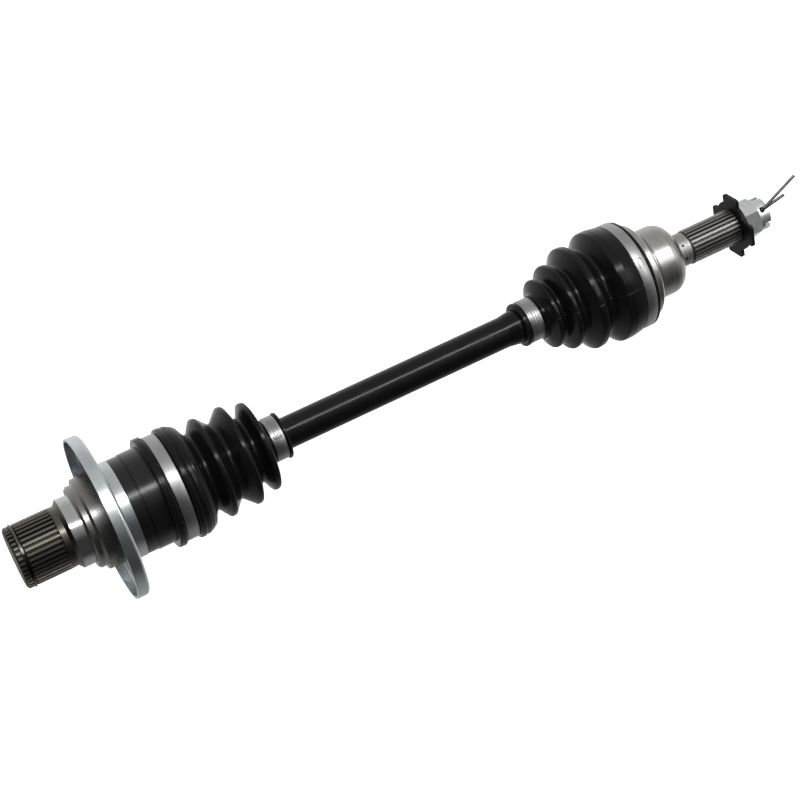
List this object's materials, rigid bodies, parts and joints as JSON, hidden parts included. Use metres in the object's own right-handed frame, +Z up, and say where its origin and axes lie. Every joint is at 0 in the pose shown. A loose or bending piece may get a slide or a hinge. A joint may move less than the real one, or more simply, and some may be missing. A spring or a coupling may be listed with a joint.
{
  "type": "cv axle",
  "caption": "Half shaft with a plunging ball joint at the splined gearcase stub and a fixed ball joint at the threaded wheel end, each under a bellows boot.",
  "frame": {"origin": "middle of the inboard stub's seal journal, on the shaft's axis", "axes": "+X along the shaft towards the wheel end, +Z up, both joints straight"},
  "size_m": [0.6173, 0.116, 0.116],
  "materials": {
    "housing_steel": "machined dark steel stub and gloss black painted cup",
    "zinc_plate": "bright zinc plate",
    "spring_steel": "oiled spring steel",
    "bearing_steel": "ground bearing steel",
    "boot_rubber": "moulded black rubber with a soft sheen",
    "clamp_steel": "satin stainless band",
    "black_paint": "gloss black paint",
    "turned_steel": "bright turned steel",
    "black_washer": "satin black coating",
    "pin_steel": "dull grey steel wire",
    "ball_steel": "polished bearing ball"
  },
  "bodies": {
    "gearcase_end": {"inboard_housing": "housing_steel", "inboard_dust_shield": "zinc_plate", "inboard_stub_circlip": "spring_steel", "inboard_wire_ring": "spring_steel", "inboard_large_clamp": "clamp_steel", "inboard_boot": "boot_rubber"},
    "inboard_ball_set": {"inboard_ball_1": "ball_steel", "inboard_ball_2": "ball_steel", "inboard_ball_3": "ball_steel", "inboard_ball_4": "ball_steel", "inboard_ball_5": "ball_steel", "inboard_ball_6": "ball_steel"},
    "inboard_cage": {"inboard_cage": "bearing_steel"},
    "shaft": {"axle_shaft": "black_paint", "inboard_inner_race": "bearing_steel", "inboard_race_circlip": "spring_steel", "inboard_small_clamp": "clamp_steel", "outboard_inner_race": "bearing_steel", "outboard_race_circlip": "spring_steel", "outboard_small_clamp": "clamp_steel"},
    "outboard_cage_set": {"outboard_cage": "bearing_steel", "outboard_ball_1": "ball_steel", "outboard_ball_2": "ball_steel", "outboard_ball_3": "ball_steel", "outboard_ball_4": "ball_steel", "outboard_ball_5": "ball_steel", "outboard_ball_6": "ball_steel"},
    "wheel_end": {"outboard_housing": "turned_steel", "outboard_boot": "boot_rubber", "outboard_large_clamp": "clamp_steel", "star_washer": "black_washer", "castle_nut": "zinc_plate", "cotter_pin": "pin_steel"}
  },
  "joints": [
    {"name": "inboard_plunge", "type": "slide", "parent": "gearcase_end", "child": "inboard_ball_set", "axis": [1, 0, 0], "range_m": [-0.015, 0.015], "deforming": ["inboard_boot"]},
    {"name": "inboard_tilt_y", "type": "hinge", "parent": "inboard_ball_set", "child": "inboard_cage", "pos_m": [0.05, 0, 0], "axis": [0, 1, 0], "range_deg": [-14, 14], "deforming": ["inboard_boot"]},
    {"name": "inboard_tilt_z", "type": "hinge", "parent": "inboard_cage", "child": "shaft", "pos_m": [0.05, 0, 0], "axis": [0, 0, 1], "range_deg": [-14, 14], "deforming": ["inboard_boot"]},
    {"name": "outboard_tilt_y", "type": "hinge", "parent": "shaft", "child": "outboard_cage_set", "pos_m": [0.424, 0, 0], "axis": [0, 1, 0], "range_deg": [-30, 30], "deforming": ["outboard_boot"]},
    {"name": "outboard_tilt_z", "type": "hinge", "parent": "outboard_cage_set", "child": "wheel_end", "pos_m": [0.424, 0, 0], "axis": [0, 0, 1], "range_deg": [-30, 30], "deforming": ["outboard_boot"]}
  ]
}
